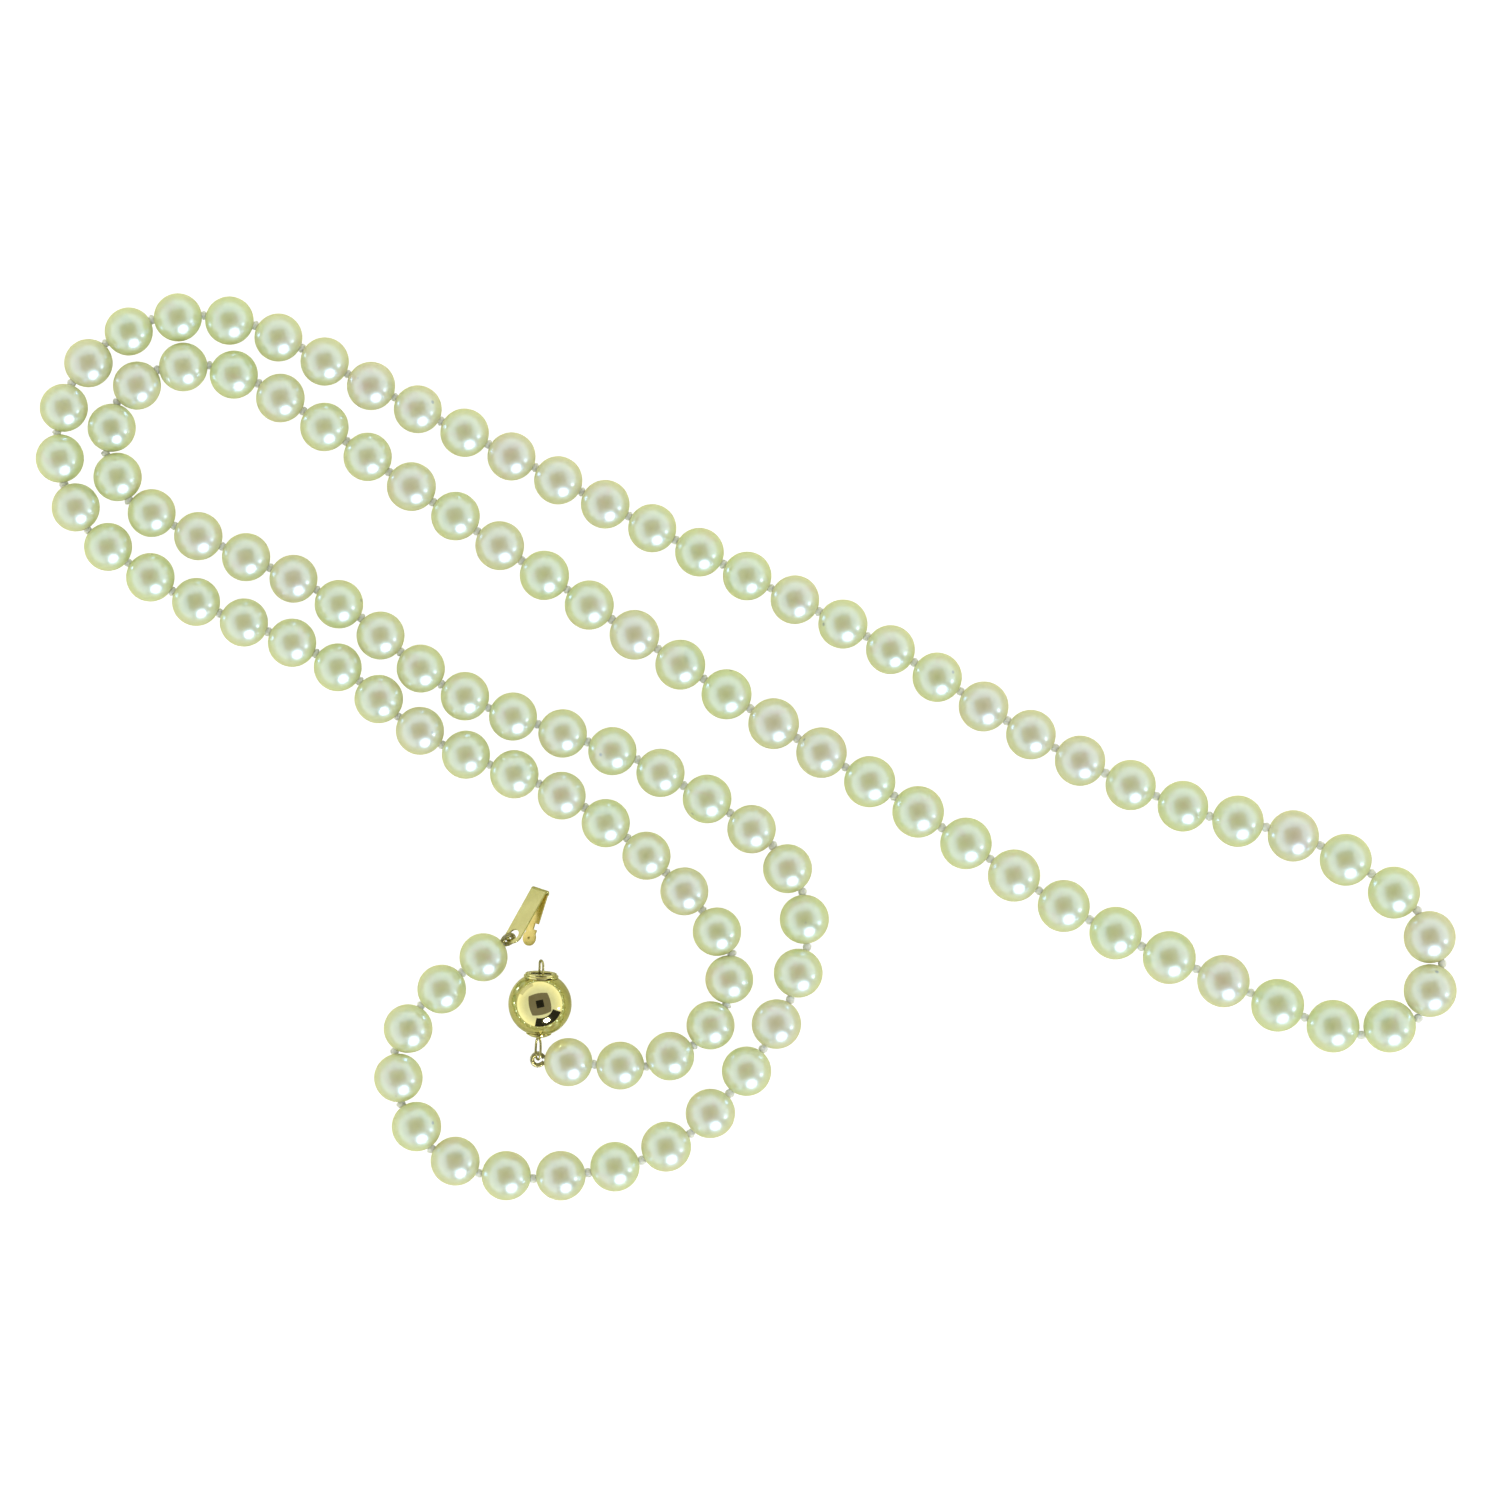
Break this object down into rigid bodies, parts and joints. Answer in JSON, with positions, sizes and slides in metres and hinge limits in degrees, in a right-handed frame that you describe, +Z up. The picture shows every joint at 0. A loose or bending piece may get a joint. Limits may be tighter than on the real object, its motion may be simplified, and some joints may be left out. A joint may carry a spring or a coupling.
{
  "type": "pearl necklace",
  "caption": "Long single strand of round cream pearls, knotted between each, laid out in loops, with an open gold ball-and-tongue clasp.",
  "frame": {"origin": "on the table, under the middle of the laid-out strand's bounding box", "axes": "+X along the strand's long loops towards their far bend, +Y away from the clasp, +Z up from the table"},
  "size_m": [0.2017, 0.1289, 0.009],
  "materials": {
    "nacre": "satin",
    "silk": "matt",
    "gold": "polished",
    "leaf_gold": "satin",
    "wire_gold": "satin"
  },
  "bodies": {
    "strand_001": {"pearl_001": "nacre", "silk_thread_001": "silk"},
    "strand_002": {"pearl_002": "nacre", "silk_thread_002": "silk"},
    "strand_003_005": {"pearls_003_005": "nacre"},
    "strand_006_008": {"pearls_006_008": "nacre"},
    "strand_009_011": {"pearls_009_011": "nacre"},
    "strand_012_014": {"pearls_012_014": "nacre"},
    "strand_015_017": {"pearls_015_017": "nacre"},
    "strand_018_020": {"pearls_018_020": "nacre"},
    "strand_021_023": {"pearls_021_023": "nacre"},
    "strand_024_026": {"pearls_024_026": "nacre"},
    "strand_027_029": {"pearls_027_029": "nacre"},
    "strand_030_032": {"pearls_030_032": "nacre"},
    "strand_033_035": {"pearls_033_035": "nacre"},
    "strand_036_038": {"pearls_036_038": "nacre"},
    "strand_039_041": {"pearls_039_041": "nacre"},
    "strand_042_044": {"pearls_042_044": "nacre"},
    "strand_045_047": {"pearls_045_047": "nacre"},
    "strand_048_050": {"pearls_048_050": "nacre"},
    "strand_051_053": {"pearls_051_053": "nacre"},
    "strand_054_056": {"pearls_054_056": "nacre"},
    "strand_057_059": {"pearls_057_059": "nacre"},
    "strand_060_062": {"pearls_060_062": "nacre"},
    "strand_063_065": {"pearls_063_065": "nacre"},
    "strand_066_068": {"pearls_066_068": "nacre"},
    "strand_069_071": {"pearls_069_071": "nacre"},
    "strand_072_074": {"pearls_072_074": "nacre"},
    "strand_075_077": {"pearls_075_077": "nacre"},
    "strand_078_080": {"pearls_078_080": "nacre"},
    "strand_081_083": {"pearls_081_083": "nacre"},
    "strand_084_086": {"pearls_084_086": "nacre"},
    "strand_087_089": {"pearls_087_089": "nacre"},
    "strand_090_092": {"pearls_090_092": "nacre"},
    "strand_093_095": {"pearls_093_095": "nacre"},
    "strand_096_098": {"pearls_096_098": "nacre"},
    "strand_099_101": {"pearls_099_101": "nacre"},
    "strand_102_104": {"pearls_102_104": "nacre"},
    "strand_105_107": {"pearls_105_107": "nacre"},
    "strand_108_110": {"pearls_108_110": "nacre"},
    "strand_111": {"pearl_111": "nacre", "silk_thread_111": "silk"},
    "strand_112": {"pearl_112": "nacre", "silk_thread_112": "silk"},
    "ball_loop": {"bullion_loop_ball_end": "wire_gold", "silk_loop_ball_end": "silk"},
    "clasp_ball": {"clasp_ball_shell": "gold", "clasp_mouth_collar": "gold", "clasp_slot_plate": "gold", "clasp_catch_staple": "wire_gold", "clasp_base_washer": "gold", "clasp_ball_eyelet": "wire_gold"},
    "tongue_loop": {"bullion_loop_tongue_end": "wire_gold", "silk_loop_tongue_end": "silk"},
    "clasp_tongue": {"clasp_tongue_strip": "gold"},
    "clasp_leaf": {"clasp_spring_leaf": "leaf_gold"}
  },
  "joints": [
    {"name": "clasp_ball_loop_bend", "type": "hinge", "parent": "strand_001", "child": "ball_loop", "pos_m": [-0.02923, -0.04402, 0.00344], "axis": [-0.0858, -0.9963, 0], "range_deg": [-25, 25]},
    {"name": "clasp_ball_swing", "type": "hinge", "parent": "ball_loop", "child": "clasp_ball", "pos_m": [-0.03003, -0.0431, 0.00344], "axis": [0.9963, -0.0858, 0], "range_deg": [-45, 70]},
    {"name": "clasp_leaf_press", "type": "hinge", "parent": "clasp_tongue", "child": "clasp_leaf", "pos_m": [-0.02972, -0.02037, 0.00119], "axis": [-0.7587, 0.2343, -0.6079], "range_deg": [0, 18], "stiffness_Nm_per_rad": 0.047},
    {"name": "clasp_tongue_loop_bend", "type": "hinge", "parent": "strand_112", "child": "tongue_loop", "pos_m": [-0.03506, -0.02743, 0.00343], "axis": [0.3845, -0.5333, -0.7535], "range_deg": [-20, 20]},
    {"name": "clasp_tongue_swing", "type": "hinge", "parent": "tongue_loop", "child": "clasp_tongue", "pos_m": [-0.03435, -0.02692, 0.00343], "axis": [0.4407, -0.6112, 0.6575], "range_deg": [-45, 50]},
    {"name": "knot_001_002", "type": "hinge", "parent": "strand_002", "child": "strand_001", "pos_m": [-0.0221, -0.04464, 0.00343], "axis": [0.0666, 0.9978, 0], "range_deg": [-37, 37]},
    {"name": "knot_002_003", "type": "hinge", "parent": "strand_003_005", "child": "strand_002", "pos_m": [-0.01475, -0.04499, 0.00343], "axis": [0.1857, -0.9826, 0], "range_deg": [-30, 30]},
    {"name": "knot_005_006", "type": "hinge", "parent": "strand_006_008", "child": "strand_003_005", "pos_m": [-0.00264, -0.0289, 0.00343], "axis": [0.9686, 0.2486, 0], "range_deg": [-20, 20]},
    {"name": "knot_008_009", "type": "hinge", "parent": "strand_009_011", "child": "strand_006_008", "pos_m": [-0.01751, -0.0126, 0.00344], "axis": [-0.6257, -0.7801, 0], "range_deg": [-37, 37]},
    {"name": "knot_011_012", "type": "hinge", "parent": "strand_012_014", "child": "strand_009_011", "pos_m": [-0.03693, -0.00208, 0.00343], "axis": [-0.375, -0.927, 0], "range_deg": [-37, 37]},
    {"name": "knot_014_015", "type": "hinge", "parent": "strand_015_017", "child": "strand_012_014", "pos_m": [-0.05545, 0.00975, 0.00343], "axis": [-0.6121, -0.7908, 0], "range_deg": [-36, 36]},
    {"name": "knot_017_018", "type": "hinge", "parent": "strand_018_020", "child": "strand_015_017", "pos_m": [-0.0753, 0.0195, 0.00342], "axis": [0.3949, 0.9187, 0], "range_deg": [-37, 37]},
    {"name": "knot_020_021", "type": "hinge", "parent": "strand_021_023", "child": "strand_018_020", "pos_m": [-0.094, 0.03119, 0.00342], "axis": [-0.773, -0.6344, 0], "range_deg": [-33, 33]},
    {"name": "knot_023_024", "type": "hinge", "parent": "strand_024_026", "child": "strand_021_023", "pos_m": [-0.09638, 0.05213, 0.00343], "axis": [-0.8763, 0.4818, 0], "range_deg": [-32, 32]},
    {"name": "knot_026_027", "type": "hinge", "parent": "strand_027_029", "child": "strand_024_026", "pos_m": [-0.07756, 0.06176, 0.00344], "axis": [0.0622, 0.9981, 0], "range_deg": [-35, 35]},
    {"name": "knot_029_030", "type": "hinge", "parent": "strand_030_032", "child": "strand_027_029", "pos_m": [-0.05714, 0.05336, 0.00344], "axis": [-0.4661, -0.8848, 0], "range_deg": [-37, 37]},
    {"name": "knot_032_033", "type": "hinge", "parent": "strand_033_035", "child": "strand_030_032", "pos_m": [-0.03718, 0.04337, 0.00344], "axis": [-0.4514, -0.8923, 0], "range_deg": [-38, 38]},
    {"name": "knot_035_036", "type": "hinge", "parent": "strand_036_038", "child": "strand_033_035", "pos_m": [-0.01721, 0.03319, 0.00345], "axis": [-0.4545, -0.8907, 0], "range_deg": [-39, 39]},
    {"name": "knot_038_039", "type": "hinge", "parent": "strand_039_041", "child": "strand_036_038", "pos_m": [0.00298, 0.02303, 0.00346], "axis": [0.4448, 0.8956, 0], "range_deg": [-40, 40]},
    {"name": "knot_041_042", "type": "hinge", "parent": "strand_042_044", "child": "strand_039_041", "pos_m": [0.02329, 0.01239, 0.0035], "axis": [-0.5091, -0.8607, 0], "range_deg": [-40, 40]},
    {"name": "knot_044_045", "type": "hinge", "parent": "strand_045_047", "child": "strand_042_044", "pos_m": [0.04331, 0.00028, 0.00356], "axis": [0.4698, 0.8828, 0], "range_deg": [-40, 40]},
    {"name": "knot_047_048", "type": "hinge", "parent": "strand_048_050", "child": "strand_045_047", "pos_m": [0.06526, -0.00933, 0.00364], "axis": [-0.2642, -0.9645, 0], "range_deg": [-40, 40]},
    {"name": "knot_050_051", "type": "hinge", "parent": "strand_051_053", "child": "strand_048_050", "pos_m": [0.08815, -0.01768, 0.0037], "axis": [0.5625, 0.8268, 0], "range_deg": [0, 40]},
    {"name": "knot_053_054", "type": "hinge", "parent": "strand_051_053", "child": "strand_054_056", "pos_m": [0.09482, -0.03799, 0.00375], "axis": [-0.6604, 0.751, 0], "range_deg": [0, 22]},
    {"name": "knot_056_057", "type": "hinge", "parent": "strand_054_056", "child": "strand_057_059", "pos_m": [0.07106, -0.03449, 0.00376], "axis": [-0.4072, -0.9133, 0], "range_deg": [-40, 40]},
    {"name": "knot_059_060", "type": "hinge", "parent": "strand_057_059", "child": "strand_060_062", "pos_m": [0.04815, -0.02418, 0.00373], "axis": [0.4634, 0.8861, 0], "range_deg": [-40, 40]},
    {"name": "knot_062_063", "type": "hinge", "parent": "strand_060_062", "child": "strand_063_065", "pos_m": [0.0273, -0.01097, 0.00367], "axis": [0.5504, 0.8349, 0], "range_deg": [-40, 40]},
    {"name": "knot_065_066", "type": "hinge", "parent": "strand_063_065", "child": "strand_066_068", "pos_m": [0.00675, 0.00167, 0.00361], "axis": [-0.5184, -0.8551, 0], "range_deg": [-40, 40]},
    {"name": "knot_068_069", "type": "hinge", "parent": "strand_066_068", "child": "strand_069_071", "pos_m": [-0.01316, 0.01423, 0.00355], "axis": [-0.5459, -0.8379, 0], "range_deg": [-40, 40]},
    {"name": "knot_071_072", "type": "hinge", "parent": "strand_069_071", "child": "strand_072_074", "pos_m": [-0.03239, 0.02692, 0.0035], "axis": [0.5538, 0.8326, 0], "range_deg": [-39, 39]},
    {"name": "knot_074_075", "type": "hinge", "parent": "strand_072_074", "child": "strand_075_077", "pos_m": [-0.05123, 0.0395, 0.00346], "axis": [-0.5632, -0.8263, 0], "range_deg": [-38, 38]},
    {"name": "knot_077_078", "type": "hinge", "parent": "strand_075_077", "child": "strand_078_080", "pos_m": [-0.06985, 0.05197, 0.00344], "axis": [0.4485, 0.8938, 0], "range_deg": [-37, 37]},
    {"name": "knot_080_081", "type": "hinge", "parent": "strand_078_080", "child": "strand_081_083", "pos_m": [-0.08989, 0.04938, 0.00343], "axis": [0.8578, -0.514, 0], "range_deg": [-20, 20]},
    {"name": "knot_083_084", "type": "hinge", "parent": "strand_081_083", "child": "strand_084_086", "pos_m": [-0.08174, 0.03188, 0.00343], "axis": [-0.4434, -0.8963, 0], "range_deg": [-37, 37]},
    {"name": "knot_086_087", "type": "hinge", "parent": "strand_084_086", "child": "strand_087_089", "pos_m": [-0.0615, 0.02273, 0.00343], "axis": [0.4884, 0.8726, 0], "range_deg": [-37, 37]},
    {"name": "knot_089_090", "type": "hinge", "parent": "strand_087_089", "child": "strand_090_092", "pos_m": [-0.04382, 0.00929, 0.00344], "axis": [-0.5309, -0.8474, 0], "range_deg": [-36, 36]},
    {"name": "knot_092_093", "type": "hinge", "parent": "strand_090_092", "child": "strand_093_095", "pos_m": [-0.02304, 0.00118, 0.00345], "axis": [0.3346, 0.9424, 0], "range_deg": [-39, 39]},
    {"name": "knot_095_096", "type": "hinge", "parent": "strand_093_095", "child": "strand_096_098", "pos_m": [-0.00281, -0.00891, 0.00346], "axis": [0.562, 0.8271, 0], "range_deg": [-40, 40]},
    {"name": "knot_098_099", "type": "hinge", "parent": "strand_096_098", "child": "strand_099_101", "pos_m": [0.00803, -0.02795, 0.00349], "axis": [-0.9936, 0.1133, 0], "range_deg": [-40, 40]},
    {"name": "knot_101_102", "type": "hinge", "parent": "strand_099_101", "child": "strand_102_104", "pos_m": [-0.00283, -0.04881, 0.00352], "axis": [0.7595, -0.6505, 0], "range_deg": [-40, 40]},
    {"name": "knot_104_105", "type": "hinge", "parent": "strand_102_104", "child": "strand_105_107", "pos_m": [-0.02297, -0.06011, 0.00352], "axis": [0.1628, -0.9867, 0], "range_deg": [-40, 40]},
    {"name": "knot_107_108", "type": "hinge", "parent": "strand_105_107", "child": "strand_108_110", "pos_m": [-0.04526, -0.05666, 0.0035], "axis": [-0.6663, -0.7457, 0], "range_deg": [-32, 32]},
    {"name": "knot_110_111", "type": "hinge", "parent": "strand_108_110", "child": "strand_111", "pos_m": [-0.0467, -0.03629, 0.00347], "axis": [-0.7615, 0.6482, 0], "range_deg": [-34, 34]},
    {"name": "knot_111_112", "type": "hinge", "parent": "strand_111", "child": "strand_112", "pos_m": [-0.04085, -0.0316, 0.00345], "axis": [0.6055, -0.7959, 0], "range_deg": [-37, 37]}
  ]
}
